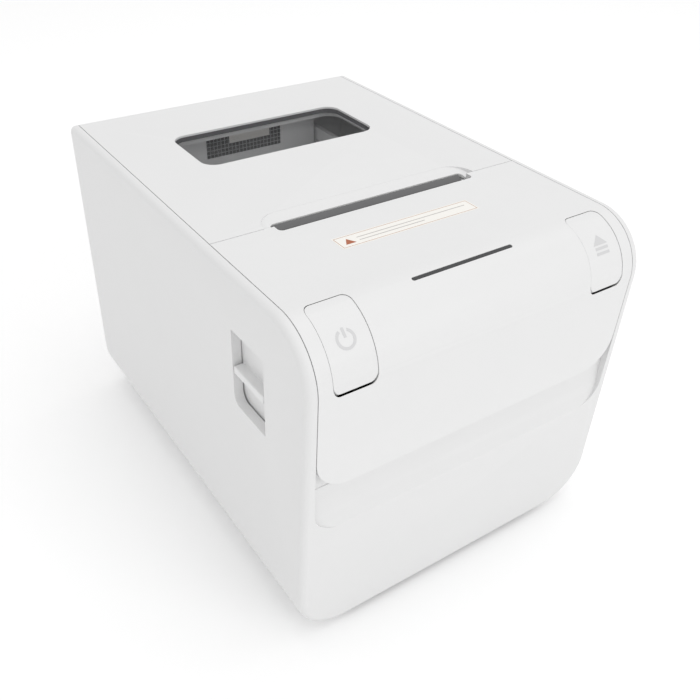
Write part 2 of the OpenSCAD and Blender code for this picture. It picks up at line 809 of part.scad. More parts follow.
module cutter_pinion() {
    phase = mesh_phase(90, motor_turn, rack_teeth, cutter_teeth);
    color([0.8, 0.66, 0.32]) union() {
        gear_at(cutter_y, cutter_z, 30.5, 5, cutter_teeth, phase, 0.9);
        rod_x(21, 35.9, cutter_y, cutter_z, 1);
    }
}

module open_lever() {
    color(white) union() {
        block([-65.8, -71.2, 76], [-63.8, -47.4, 112.6]);
        block([-69.6, -69.1, 96.6], [-65.7, -49.6, 99.6]);
        block([-65, -66.9, 76], [-59.5, -62, 77.6]);
        block([-64, -61, 93.5], [-47.6, -57.4, 96.4]);
    }
}

module lever_spring() {
    color(steel) translate([-62, -64.4, 62]) coil(2, 0.3, 13.95, 6);
}

module paper_bin() {
    color([0.5, 0.51, 0.52]) difference() {
        union() {
            along_x(-bin_half - 2.4, bin_half + 2.4) union() {
                translate([bin_y, bin_z]) circle(roll_r + 2);
                translate([bin_y - roll_r - 2, bin_z]) square([2 * roll_r + 4, bin_top - bin_z]);
            }
            for (side = [-1, 1], y = bin_screw_y)
                block([side > 0 ? bin_half + 2 : -60.4, y - 5, 84], [side > 0 ? 60.4 : -bin_half - 2, y + 5, 87]);
        }
        along_x(-bin_half, bin_half) union() {
            translate([bin_y, bin_z]) circle(roll_r);
            translate([bin_y - roll_r, bin_z]) square([2 * roll_r, bin_top]);
        }
        for (side = [-1, 1], y = bin_screw_y) translate([side * bin_screw_x, y, 80]) cylinder(h = 10, r = 1.7);
        // Gap for the paper sensor and the cable in the right-hand end wall.
        block([bin_half - 1, 64, 84], [bin_half + 5, 76, 112]);
    }
}

module bin_screws() {
    color(steel) for (side = [-1, 1], y = bin_screw_y) translate([side * bin_screw_x, y, 88.8])
        rotate([180, 0, 0]) screw(1.25, 2.8, 1.8, 8);
}

module liner_sticker() {
    color([0.95, 0.95, 0.93]) block([-5, apron_y - 0.08, 119.6], [15.5, apron_y, 126.2]);
}

module paper_sensor() {
    color(dark) block([-10, -11.5, 74], [10, bin_y - roll_r - 2, 82]);
}

module main_board() {
    color([0.1, 0.35, 0.2]) difference() {
        union() {
            block([-54, 2, board_z], [54, 88, board_z + 1.6]);
            for (x = [-48, -37]) translate([x, 20, board_z + 1.6]) cylinder(h = 14, r = 4.5);
            block([-20, 24, board_z + 1.6], [-4, 40, board_z + 3.4]);
            block([14, 26, board_z + 1.6], [26, 34, board_z + 3.4]);
            for (x = [-26, 0, 26]) block([x - 7, 4, board_z + 1.6], [x + 7, 9, board_z + 8]);
        }
        for (p = stays) translate([p[0], p[1], 0]) cylinder(h = 20, r = 1.5);
    }
}

module board_screws() {
    color(steel) for (p = stays) translate([p[0], p[1], board_z + 3]) rotate([180, 0, 0]) screw(1, 2.6, 1.4, 6);
}

module buzzer() {
    color(dark) translate([42, 30, board_z + 1.6]) difference() {
        cylinder(h = 7, r = 6);
        translate([0, 0, 3]) cylinder(h = 5, r = 1);
    }
}

module power_inlet() {
    color(dark) difference() {
        union() {
            block([-49, 76, board_z + 1.6], [-35, 91.8, board_z + 17.6]);
            translate([-42, 91.8, board_z + 9.6]) rotate([-90, 0, 0]) cylinder(h = 2.4, r = 6.4);
        }
        translate([-42, 84, board_z + 9.6]) rotate([-90, 0, 0]) cylinder(h = 12, r = 4.9);
    }
}

// A square socket shell with its cavity open to the back.
module socket_shell(x0, x1, high, cavity) {
    difference() {
        block([x0, 76, board_z + 1.6], [x1, y_back - 1, high]);
        block([x0 + cavity, 80, board_z + 1.6 + cavity], [x1 - cavity, y_back + 1, high - cavity]);
    }
}

module usb_port() {
    color(steel) socket_shell(-24, -12, board_z + 12.6, 1.6);
}

module network_port() {
    color(steel) socket_shell(-2, 14, board_z + 15, 2.2);
}

module drawer_port() {
    color(dark) socket_shell(23, 36, board_z + 15, 2.2);
}

housing();
base_plate();
rubber_feet();
base_screws();
front_cover();
cover_screws();
power_button();
feed_button();
light_bar();
notice_sticker();
key_board();
key_screws();
key_switches();
rear_lid();
lid_window();
lid_liner();
liner_screws();
hinge_pins();
fixed_blade();
platen_bushes();
platen_shaft();
platen_rubber();
platen_gear();
mech_frame();
frame_screws();
print_head();
head_heatsink();
head_pin();
head_springs();
spring_bracket();
latch_shaft();
feed_motor();
feed_pinion();
upper_idler();
lower_idler();
gear_studs();
cutter_frame();
cutter_cover();
moving_blade();
blade_carrier();
cutter_shaft();
cutter_motor();
cutter_pinion();
open_lever();
lever_spring();
paper_bin();
bin_screws();
liner_sticker();
paper_sensor();
main_board();
board_screws();
buzzer();
power_inlet();
usb_port();
network_port();
drawer_port();
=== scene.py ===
import math

import bmesh
import bpy
from mathutils import Matrix, Vector


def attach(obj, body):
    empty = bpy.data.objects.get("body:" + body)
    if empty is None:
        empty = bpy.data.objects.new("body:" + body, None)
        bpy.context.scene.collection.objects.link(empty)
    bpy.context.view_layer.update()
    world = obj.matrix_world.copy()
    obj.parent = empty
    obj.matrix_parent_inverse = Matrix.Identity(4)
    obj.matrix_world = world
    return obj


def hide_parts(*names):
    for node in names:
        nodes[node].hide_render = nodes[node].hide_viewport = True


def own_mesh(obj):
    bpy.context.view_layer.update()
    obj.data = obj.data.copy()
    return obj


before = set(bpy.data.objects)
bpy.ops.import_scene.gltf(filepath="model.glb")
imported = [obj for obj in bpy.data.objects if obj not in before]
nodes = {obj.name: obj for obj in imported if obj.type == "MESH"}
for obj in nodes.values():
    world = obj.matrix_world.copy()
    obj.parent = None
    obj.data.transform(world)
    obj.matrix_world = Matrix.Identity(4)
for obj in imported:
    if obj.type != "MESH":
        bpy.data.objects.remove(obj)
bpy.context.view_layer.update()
MM = 0.001


# ---- Counter top and studio light ----
# The printer stands on a plain white counter under large soft boxes, so its moulded
# faces read by small steps of grey and the ground stays almost white.
scene = bpy.context.scene


def new_piece(name, mesh, material):
    """An object with one material, at the origin."""
    piece = bpy.data.objects.new(name, mesh)
    scene.collection.objects.link(piece)
    mesh.materials.clear()
    mesh.materials.append(material)
    return piece


COUNTER_HALF = 4.0
COUNTER_GLOW = 0.06
white_counter = bpy.data.materials.new("white_counter")
white_counter.use_nodes = True
counter_shader = white_counter.node_tree.nodes["Principled BSDF"]
counter_shader.inputs["Base Color"].default_value = (0.97, 0.97, 0.97, 1)
counter_shader.inputs["Roughness"].default_value = 0.9
counter_shader.inputs["Emission Color"].default_value = (1, 1, 1, 1)
counter_shader.inputs["Emission Strength"].default_value = COUNTER_GLOW
counter_mesh = bpy.data.meshes.new("counter_top")
counter_mesh.from_pydata(
    [(x * COUNTER_HALF, y * COUNTER_HALF, 0) for x, y in ((-1, -1), (1, -1), (1, 1), (-1, 1))],
    [],
    [(0, 1, 2, 3)],
)
counter = new_piece("counter_top", counter_mesh, white_counter)

scene.view_settings.view_transform = "Standard"
scene.view_settings.look = "None"
scene.world = bpy.data.worlds.new("studio")
scene.world.use_nodes = True
sky = scene.world.node_tree.nodes["Background"]
sky.inputs["Color"].default_value = (1, 1, 1, 1)
SKY_STRENGTH = 0.84
sky.inputs["Strength"].default_value = SKY_STRENGTH


def soft_box(name, place, size, watts):
    """A square area light that faces the printer."""
    lamp = bpy.data.lights.new(name, "AREA")
    lamp.shape = "SQUARE"
    lamp.size = size
    lamp.energy = watts
    box_light = bpy.data.objects.new(name, lamp)
    scene.collection.objects.link(box_light)
    box_light.location = place
    box_light.rotation_euler = (PRINTER_MIDDLE - Vector(place)).to_track_quat("-Z", "Y").to_euler()


PRINTER_MIDDLE = Vector((0, 0, 0.05))
soft_box("overhead_box", (0.2, -0.1, 1.5), 1.4, 4.4)
soft_box("front_box", (0.5, -1.5, 0.9), 0.9, 3.6)

# ---- Camera ----
# It stands in front, to the printer's left and above it, and looks down on the paper
# slot, as a person at the counter sees it. The three axes are its right, up and look.
EYE = Vector((-0.162217, -0.247304, 0.261184))
LOOK = Vector((0.46716265, 0.6655244, -0.58209649))
RIGHT = Vector((0.82771556, -0.56066548, 0.02326286))
UP = Vector((0.3108794, 0.49267786, 0.81278689))
FOCAL_LENGTH = 42.47
view = bpy.data.cameras.new("view")
view.lens = FOCAL_LENGTH
view.sensor_width = 36
view.clip_start = 0.01
camera = bpy.data.objects.new("view", view)
scene.collection.objects.link(camera)
camera.matrix_world = Matrix.Translation(EYE) @ Matrix((RIGHT, UP, -LOOK)).transposed().to_4x4()
scene.camera = camera


# ---- Case ----
# One white ABS moulding with fine spark texture: two side walls, the lower front, the
# back panel and the floor rim. Its outer edges are well rounded, its seams are crisp.
def noise(tree, coords, scale, detail):
    """A noise pattern; its scale is a number or a socket."""
    texture = tree.nodes.new("ShaderNodeTexNoise")
    if isinstance(scale, float):
        texture.inputs["Scale"].default_value = scale
    else:
        tree.links.new(scale, texture.inputs["Scale"])
    texture.inputs["Detail"].default_value = detail
    tree.links.new(coords, texture.inputs["Vector"])
    return texture.outputs["Fac"]


def math_node(tree, operation, first, second):
    """One sum or product of numbers or sockets."""
    node = tree.nodes.new("ShaderNodeMath")
    node.operation = operation
    for socket, value in zip(node.inputs, (first, second)):
        if isinstance(value, (int, float)):
            socket.default_value = value
        else:
            tree.links.new(value, socket)
    return node.outputs["Value"]


def surface_group():
    """Grain, faint blotches and lighter worn edges, shared by every finish."""
    blotch_scale, rub_scale = 38.0, 160.0
    grain_share, middle = 0.5, 0.75
    worn_from, worn_to = 0.52, 0.62
    group = bpy.data.node_groups.new("surface", "ShaderNodeTree")
    for name, kind, value in (
        ("Colour", "NodeSocketColor", (0.8, 0.8, 0.8, 1)),
        ("Blotch", "NodeSocketFloat", 0.02),
        ("Grain Scale", "NodeSocketFloat", 3000.0),
        ("Wear", "NodeSocketFloat", 0.1),
        ("Roughness", "NodeSocketFloat", 0.5),
        ("Rough Spread", "NodeSocketFloat", 0.1),
    ):
        socket = group.interface.new_socket(name, in_out="INPUT", socket_type=kind)
        socket.default_value = value
    for name, kind in (
        ("Colour", "NodeSocketColor"),
        ("Roughness", "NodeSocketFloat"),
        ("Height", "NodeSocketFloat"),
    ):
        group.interface.new_socket(name, in_out="OUTPUT", socket_type=kind)
    given = group.nodes.new("NodeGroupInput")
    result = group.nodes.new("NodeGroupOutput")
    coords = group.nodes.new("ShaderNodeTexCoord").outputs["Object"]
    grain = noise(group, coords, given.outputs["Grain Scale"], 2.0)
    blotch = noise(group, coords, blotch_scale, 4.0)
    rub = noise(group, coords, rub_scale, 3.0)
    pointed = group.nodes.new("ShaderNodeNewGeometry").outputs["Pointiness"]
    edge = group.nodes.new("ShaderNodeMapRange")
    edge.inputs["From Min"].default_value = worn_from
    edge.inputs["From Max"].default_value = worn_to
    group.links.new(pointed, edge.inputs["Value"])
    worn = math_node(group, "MULTIPLY", edge.outputs["Result"], rub)
    worn = math_node(group, "MULTIPLY", worn, given.outputs["Wear"])
    mixed = math_node(group, "ADD", blotch, math_node(group, "MULTIPLY", grain, grain_share))
    shade = math_node(group, "SUBTRACT", mixed, middle)
    shade = math_node(group, "MULTIPLY", shade, given.outputs["Blotch"])
    value = math_node(group, "ADD", math_node(group, "ADD", shade, worn), 1.0)
    tint = group.nodes.new("ShaderNodeVectorMath")
    tint.operation = "SCALE"
    group.links.new(given.outputs["Colour"], tint.inputs[0])
    group.links.new(value, tint.inputs["Scale"])
    group.links.new(tint.outputs["Vector"], result.inputs["Colour"])
    spread = math_node(group, "SUBTRACT", rub, 0.5)
    spread = math_node(group, "MULTIPLY", spread, given.outputs["Rough Spread"])
    rough = math_node(group, "ADD", given.outputs["Roughness"], spread)
    group.links.new(rough, result.inputs["Roughness"])
    group.links.new(grain, result.inputs["Height"])
    return group


SURFACE = surface_group()


def finish(name, colour, roughness, metal=0.0, *, grain, depth, blotch, wear, spread=0.1, coat=0.0, alpha=1.0):
    """A material on the shared surface group; grain depth in millimetres."""
    material = bpy.data.materials.new(name)
    material.use_nodes = True
    tree = material.node_tree
    shader = tree.nodes["Principled BSDF"]
    shader.inputs["Metallic"].default_value = metal
    shader.inputs["Coat Weight"].default_value = coat
    shader.inputs["Alpha"].default_value = alpha
    surface = tree.nodes.new("ShaderNodeGroup")
    surface.node_tree = SURFACE
    for socket, value in (
        ("Colour", (*colour, 1)),
        ("Blotch", blotch),
        ("Grain Scale", grain),
        ("Wear", wear),
        ("Roughness", roughness),
        ("Rough Spread", spread),
    ):
        surface.inputs[socket].default_value = value
    bump = tree.nodes.new("ShaderNodeBump")
    bump.inputs["Strength"].default_value = 1.0
    bump.inputs["Distance"].default_value = depth * MM
    tree.links.new(surface.outputs["Colour"], shader.inputs["Base Color"])
    tree.links.new(surface.outputs["Roughness"], shader.inputs["Roughness"])
    tree.links.new(surface.outputs["Height"], bump.inputs["Height"])
    tree.links.new(bump.outputs["Normal"], shader.inputs["Normal"])
    return material


def merged_mesh(node):
    """The node's triangles joined into clean flat faces."""
    same_point = 0.002 * MM
    same_plane = math.radians(0.4)
    bm = bmesh.new()
    bm.from_mesh(nodes[node].data)
    bmesh.ops.remove_doubles(bm, verts=bm.verts, dist=same_point)
    bmesh.ops.dissolve_limit(bm, angle_limit=same_plane, verts=bm.verts, edges=bm.edges)
    bm.normal_update()
    return bm


def soften(bm, name, material, body, replaced, edge, outline=0, segments=3):
    """A finished piece from bm: its marked edges are rounded by outline and its other
    sharp edges by edge, in millimetres."""
    sharp = math.radians(32)
    mesh = bpy.data.meshes.new(name)
    bm.to_mesh(mesh)
    bm.free()
    for polygon in mesh.polygons:
        polygon.use_smooth = True
    piece = new_piece(name, mesh, material)
    if outline:
        wide = piece.modifiers.new("outline", "BEVEL")
        wide.width = outline * MM
        wide.segments = 5
        wide.limit_method = "WEIGHT"
        wide.use_clamp_overlap = False
    rounding = piece.modifiers.new("rounding", "BEVEL")
    rounding.width = edge * MM
    rounding.segments = segments
    rounding.limit_method = "ANGLE"
    rounding.angle_limit = sharp
    rounding.use_clamp_overlap = True
    settle = piece.modifiers.new("settle", "WEIGHTED_NORMAL")
    settle.keep_sharp = True
    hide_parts(*replaced)
    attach(piece, body)
    return piece


def case_outline(bm):
    """Marks the well-rounded outline of the case: its side edges, away from the lever
    pocket, and its lower front and back corners."""
    corner = math.radians(25)
    outer_wall, low_rim = 68.8, 23
    front, back = -90.4, 94.9
    pocket_y, pocket_z = (-70.2, -48.5), (83.5, 114)
    weight = bm.edges.layers.float.new("bevel_weight_edge")
    for e in bm.edges:
        if len(e.link_faces) != 2 or e.calc_face_angle(0) < corner:
            continue
        ends = [v.co / MM for v in e.verts]
        in_pocket = all(
            p.x < 0 and pocket_y[0] < p.y < pocket_y[1] and pocket_z[0] < p.z < pocket_z[1] for p in ends
        )
        side_edge = all(abs(p.x) > outer_wall for p in ends) and not in_pocket
        low_corner = all(p.z < low_rim for p in ends)
        low_front = low_corner and all(p.y < front for p in ends)
        low_back = low_corner and all(p.y > back for p in ends)
        if side_edge or low_front or low_back:
            e[weight] = 1.0


CASE_ROUND = 2.4
case_white = finish(
    "case_white", (0.755, 0.755, 0.755), 0.46,
    grain=2600.0, depth=0.012, blotch=0.02, wear=0.02, spread=0.08,
)
case_bm = merged_mesh("housing")
case_outline(case_bm)
case = soften(case_bm, "case", case_white, "base", ["housing"], 0.3, outline=CASE_ROUND)

# ---- Floor plate, feet and floor screws ----
# A grey moulded plate with low ribs closes the case from below and carries the print
# mechanism. Four rubber feet are pressed into its recesses and steel screws hold it.
grey_plastic = finish(
    "grey_plastic", (0.16, 0.165, 0.17), 0.55,
    grain=2200.0, depth=0.02, blotch=0.08, wear=0.2,
)
black_rubber = finish(
    "black_rubber", (0.022, 0.022, 0.023), 0.8,
    grain=1500.0, depth=0.05, blotch=0.3, wear=0.3, spread=0.15,
)
screw_steel = finish(
    "screw_steel", (0.56, 0.57, 0.59), 0.32, 1.0,
    grain=5000.0, depth=0.006, blotch=0.12, wear=0.25, spread=0.2,
)


def dress(material, *names):
    """Puts one finish on CAD nodes whose shape is already right."""
    for name in names:
        nodes[name].data.materials.clear()
        nodes[name].data.materials.append(material)


feet = soften(merged_mesh("rubber_feet"), "feet", black_rubber, "base", ["rubber_feet"], 0.5)
dress(grey_plastic, "base_plate")
dress(screw_steel, "base_screws")


def add_socket(tree, name, kind, value=None, way="INPUT"):
    """A named input, or output, of a tree."""
    item = tree.interface.new_socket(name, in_out=way, socket_type=kind)
    if value is not None:
        item.default_value = value


def close_tree(tree, mesh, given):
    """Ends a tree in Realize Instances and Set Material."""
    real = tree.nodes.new("GeometryNodeRealizeInstances")
    paint = tree.nodes.new("GeometryNodeSetMaterial")
    tree.links.new(mesh, real.inputs["Geometry"])
    tree.links.new(real.outputs["Geometry"], paint.inputs["Geometry"])
    tree.links.new(given["Material"], paint.inputs["Material"])
    tree.links.new(paint.outputs["Geometry"], tree.nodes.new("NodeGroupOutput").inputs["Geometry"])
    return tree


def block_grid_tree():
    """Equal small blocks in rows and columns."""
    tree = bpy.data.node_groups.new("block_grid", "GeometryNodeTree")
    add_socket(tree, "Columns", "NodeSocketInt", 4)
    add_socket(tree, "Rows", "NodeSocketInt", 1)
    add_socket(tree, "Step X", "NodeSocketFloat", 0.002)
    add_socket(tree, "Step Y", "NodeSocketFloat", 0.002)
    add_socket(tree, "Size", "NodeSocketVector", (0.001, 0.001, 0.001))
    add_socket(tree, "Material", "NodeSocketMaterial")
    add_socket(tree, "Geometry", "NodeSocketGeometry", way="OUTPUT")
    given = tree.nodes.new("NodeGroupInput").outputs
    grid = tree.nodes.new("GeometryNodeMeshGrid")
    for axis, count in (("X", "Columns"), ("Y", "Rows")):
        gaps = math_node(tree, "SUBTRACT", given[count], 1.0)
        span = math_node(tree, "MULTIPLY", gaps, given["Step " + axis])
        tree.links.new(span, grid.inputs["Size " + axis])
        tree.links.new(given[count], grid.inputs["Vertices " + axis])
    brick = tree.nodes.new("GeometryNodeMeshCube")
    tree.links.new(given["Size"], brick.inputs["Size"])
    place = tree.nodes.new("GeometryNodeInstanceOnPoints")
    tree.links.new(grid.outputs["Mesh"], place.inputs["Points"])
    tree.links.new(brick.outputs["Mesh"], place.inputs["Instance"])
    return close_tree(tree, place.outputs["Instances"], given)


def grown(tree, name, values, body, spots):
    """Grows a tree into one plain mesh, copies it to every spot and rides it on a body."""
    seed = bpy.data.objects.new(name, bpy.data.meshes.new(name))
    scene.collection.objects.link(seed)
    growth = seed.modifiers.new("growth", "NODES")
    growth.node_group = tree
    ids = {item.name: item.identifier for item in tree.interface.items_tree if item.in_out == "INPUT"}
    for key, value in values.items():
        growth[ids[key]] = value
    bpy.context.view_layer.update()
    plain = bpy.data.meshes.new_from_object(seed.evaluated_get(bpy.context.evaluated_depsgraph_get()))
    bpy.data.objects.remove(seed)
    bm = bmesh.new()
    for spot in spots:
        part = plain.copy()
        part.transform(spot)
        bm.from_mesh(part)
        bpy.data.meshes.remove(part)
    mesh = bpy.data.meshes.new(name)
    bm.to_mesh(mesh)
    bm.free()
    piece = new_piece(name, mesh, values["Material"])
    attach(piece, body)
    return piece


def at(x, y, z, turn_x=0, turn_z=0):
    """A placing in millimetres and degrees."""
    turned = Matrix.Rotation(math.radians(turn_z), 4, "Z") @ Matrix.Rotation(math.radians(turn_x), 4, "X")
    return Matrix.Translation((x * MM, y * MM, z * MM)) @ turned


BLOCK_GRID = block_grid_tree()
floor_rib_rows = {
    "Columns": 2,
    "Rows": 9,
    "Step X": 44 * MM,
    "Step Y": 7.5 * MM,
    "Size": (0.028, 0.0018, 0.0006),
    "Material": grey_plastic,
}
floor_ribs = grown(BLOCK_GRID, "floor_ribs", floor_rib_rows, "base", [at(0, 0, 2.3)])

# ---- Front cover ----
# The curved white cover over the cutter: it drops from the paper slot over the shoulder
# and ends in a foot with round corners. Two screws reach up into its posts from inside.
cover_white = finish(
    "cover_white", (0.765, 0.765, 0.765), 0.43,
    grain=2800.0, depth=0.010, blotch=0.02, wear=0.02, spread=0.08,
)
COVER_EDGE = 0.45
cover = soften(merged_mesh("front_cover"), "front_cover_skin", cover_white, "base", ["front_cover"], COVER_EDGE)
dress(screw_steel, "cover_screws", "key_screws")

# ---- Power and feed buttons ----
# Each button is a curved white key cut out of the shoulder; it tips on a hidden hinge rod
# and its stem presses a switch. The symbols are printed in light grey on the key.
print_grey = finish(
    "print_grey", (0.63, 0.63, 0.635), 0.5,
    grain=3000.0, depth=0.004, blotch=0.05, wear=0.0,
)
SHOULDER_Y = -75.0
SHOULDER_Z = 114.0
SHOULDER_R = 19.85
SIGN_TURN = math.radians(46.8)
INK_TOP = 0.05
INK_FOOT = 0.005


def print_on_shoulder(name, strips, centre_x, material, body):
    """Thin print on the curve of the shoulder, made of strips. A strip is its left and its
    right edge, each a list of as many (across, up) points in millimetres."""
    bm = bmesh.new()
    for left, right in strips:
        rows = []
        for pair in zip(left, right):
            row = []
            for lift in (INK_TOP, INK_FOOT):
                for across, up in pair:
                    turn = SIGN_TURN - up / SHOULDER_R
                    reach = SHOULDER_R + lift
                    x = (centre_x + across) * MM
                    y = (SHOULDER_Y - reach * math.sin(turn)) * MM
                    z = (SHOULDER_Z + reach * math.cos(turn)) * MM
                    row.append(bm.verts.new((x, y, z)))
            rows.append([row[0], row[1], row[3], row[2]])
        for first, second in zip(rows, rows[1:]):
            for k in range(4):
                bm.faces.new((first[k], first[(k + 1) % 4], second[(k + 1) % 4], second[k]))
        bm.faces.new(rows[0])
        bm.faces.new(rows[-1])
    bmesh.ops.remove_doubles(bm, verts=bm.verts, dist=1e-7)
    bmesh.ops.recalc_face_normals(bm, faces=bm.faces)
    mesh = bpy.data.meshes.new(name)
    bm.to_mesh(mesh)
    bm.free()
    piece = new_piece(name, mesh, material)
    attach(piece, body)
    return piece


def steps_between(start, stop, steps):
    return [start + (stop - start) * i / steps for i in range(steps + 1)]


def arc(radius):
    """Points of an open ring with its gap at the top."""
    turns = [math.radians(turn) for turn in steps_between(28, 332, 36)]
    return [(radius * math.sin(turn), radius * math.cos(turn)) for turn in turns]


def wedge(half_low, half_high, low, high, steps):
    """A strip whose half width runs from half_low to half_high."""
    halves = steps_between(half_low, half_high, steps)
    ups = steps_between(low, high, steps)
    return [(-half, up) for half, up in zip(halves, ups)], [(half, up) for half, up in zip(halves, ups)]


POWER_SIGN = [(arc(3.3), arc(2.4)), wedge(0.45, 0.45, 0.4, 3.5, 6)]
FEED_SIGN = [wedge(3.3, 0.04, 0.3, 3.9, 6), wedge(3.0, 3.0, -1.4, -0.4, 2), wedge(3.0, 3.0, -3.2, -2.2, 2)]
for node, body, sign, sign_x in (
    ("power_button", "power_key", POWER_SIGN, -52.9),
    ("feed_button", "feed_key", FEED_SIGN, 52.3),
):
    key = soften(merged_mesh(node), node + "_skin", cover_white, body, [node], 0.3)
    print_on_shoulder(node + "_sign", sign, sign_x, print_grey, body)

# ---- Key board and its switches ----
# A narrow circuit board under the shoulder carries two push switches; two screws hold
# it to the cover's posts. It has no lamps for the light bar.
board_green = finish(
    "board_green", (0.03, 0.14, 0.07), 0.35,
    grain=900.0, depth=0.01, blotch=0.25, wear=0.05, coat=0.3,
)
black_plastic = finish(
    "black_plastic", (0.03, 0.03, 0.032), 0.5,
    grain=2500.0, depth=0.015, blotch=0.1, wear=0.25,
)
dress(board_green, "key_board", "main_board")
dress(black_plastic, "key_switches")

# ---- Light bar ----
# A dark, opaque strip with round ends, set into the curve of the cover. Its polished
# face lies just under the cover's.
lens_dark = finish(
    "lens_dark", (0.012, 0.013, 0.015), 0.16,
    grain=800.0, depth=0.002, blotch=0.2, wear=0.1, spread=0.06, coat=0.6,
)
lens = soften(merged_mesh("light_bar"), "light_bar_lens", lens_dark, "base", ["light_bar"], 0.12)

# ---- Notice sticker ----
# A small paper label on the top of the cover. It carries only a thin brown border, a
# small triangle and two plain rules, printed flat.
label_paper = finish(
    "label_paper", (0.88, 0.86, 0.82), 0.6,
    grain=1800.0, depth=0.01, blotch=0.05, wear=0.0,
)
label_brown = finish(
    "label_brown", (0.50, 0.33, 0.24), 0.6,
    grain=1800.0, depth=0.004, blotch=0.1, wear=0.0,
)
label_red = finish(
    "label_red", (0.42, 0.13, 0.06), 0.6,
    grain=1800.0, depth=0.004, blotch=0.1, wear=0.0,
)
label_grey = finish(
    "label_grey", (0.5, 0.48, 0.46), 0.6,
    grain=1800.0, depth=0.004, blotch=0.1, wear=0.0,
)


def flat_prism(name, outlines, low, high, material, body, across=(0, 1), along=2):
    """Flat closed plates from outlines in millimetres; across names the two axes of the
    drawing and along that of the thickness, from low to high."""
    bm = bmesh.new()
    for outline in outlines:
        rings = []
        for level in (low, high):
            ring = []
            for point in outline:
                place = [0, 0, 0]
                place[across[0]], place[across[1]], place[along] = point[0] * MM, point[1] * MM, level * MM
                ring.append(bm.verts.new(place))
            rings.append(ring)
        bm.faces.new(rings[0])
        bm.faces.new(rings[1])
        for i in range(len(outline)):
            j = (i + 1) % len(outline)
            bm.faces.new((rings[0][i], rings[0][j], rings[1][j], rings[1][i]))
    bmesh.ops.recalc_face_normals(bm, faces=bm.faces)
    mesh = bpy.data.meshes.new(name)
    bm.to_mesh(mesh)
    bm.free()
    piece = new_piece(name, mesh, material)
    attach(piece, body)
    return piece


def rectangle(x0, x1, y0, y1):
    return [(x0, y0), (x1, y0), (x1, y1), (x0, y1)]


TOP = 134.0
PAPER = 0.06
INK_LOW = TOP + 0.05
INK_HIGH = TOP + 0.075
notice = [rectangle(-31, 26.3, -55.4, -47.6)]
label = flat_prism("notice_label", notice, TOP, TOP + PAPER, label_paper, "base")
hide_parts("notice_sticker")
BORDER = 0.22
LEFT, RIGHT_END, NEAR, FAR = -30.5, 25.8, -54.9, -48.1
border = [
    rectangle(LEFT, RIGHT_END, NEAR, NEAR + BORDER),
    rectangle(LEFT, RIGHT_END, FAR - BORDER, FAR),
    rectangle(LEFT, LEFT + BORDER, NEAR + BORDER, FAR - BORDER),
    rectangle(RIGHT_END - BORDER, RIGHT_END, NEAR + BORDER, FAR - BORDER),
]
mark = [[(-28.6, -53.3), (-24.6, -53.3), (-26.6, -49.9)]]
rules = [rectangle(-22.9, 23.2, -50.9, -50.5), rectangle(-22.9, 4.0, -52.8, -52.4)]
flat_prism("notice_border", border, INK_LOW, INK_HIGH, label_brown, "base")
flat_prism("notice_mark", mark, INK_LOW, INK_HIGH, label_red, "base")
flat_prism("notice_rules", rules, INK_LOW, INK_HIGH, label_grey, "base")

# ---- Lid ----
# The white paper lid turns on two steel pins at the back. It has a finger recess behind
# the paper slot, stiffening ribs underneath and an opening for its window.
lid = soften(merged_mesh("rear_lid"), "lid_skin", cover_white, "lid", ["rear_lid"], COVER_EDGE)
dress(screw_steel, "hinge_pins", "liner_screws")

# ---- Lid window ----
# A smoked clear plastic pane, set a little below the lid's surface and held from below
# by its flange. Its rim is dark and opaque, so the hole's white wall doesn't show.
smoke = finish(
    "smoke", (0.14, 0.143, 0.148), 0.06,
    grain=600.0, depth=0.001, blotch=0.05, wear=0.0, spread=0.02, alpha=0.1,
)
pane = soften(merged_mesh("lid_window"), "window_pane", smoke, "lid", ["lid_window"], 0.2)
pane_rim = finish(
    "pane_rim", (0.1, 0.1, 0.105), 0.3,
    grain=900.0, depth=0.004, blotch=0.05, wear=0.0,
)
pane.data.materials.append(pane_rim)
FLANGE_TOP = 131.3
for polygon in pane.data.polygons:
    if abs(polygon.normal.z) < 0.5 and polygon.center.z > FLANGE_TOP * MM:
        polygon.material_index = 1

# ---- Lid liner, platen bearings and fixed blade ----
# A grey moulded frame is screwed under the lid; its pale grey is partly painted light. It carries the platen
# bearings, the fixed blade, the lip behind the paper slot, painted dark grey as painted shade for the slot, and
# an apron that closes the roll space.
# A dark waffle panel and a blank white sticker show on the apron through the window.
# Pale grey, partly the mouldings' own colour and partly painted light: it is lightened so the liner and the bin
# read bright in the dim space under the lid.
interior_grey_painted_light = finish(
    "interior_grey_painted_light", (0.84, 0.842, 0.846), 0.5,
    grain=2200.0, depth=0.02, blotch=0.08, wear=0.15,
)
liner = soften(merged_mesh("lid_liner"), "liner", interior_grey_painted_light, "lid", ["lid_liner"], 0.3, segments=2)
# Dark grey for the lip behind the paper slot: painted shade for the slot.
slot_painted_shade = finish(
    "slot_painted_shade", (0.13, 0.13, 0.132), 0.6,
    grain=1800.0, depth=0.01, blotch=0.1, wear=0.1,
)
liner.data.materials.append(slot_painted_shade)
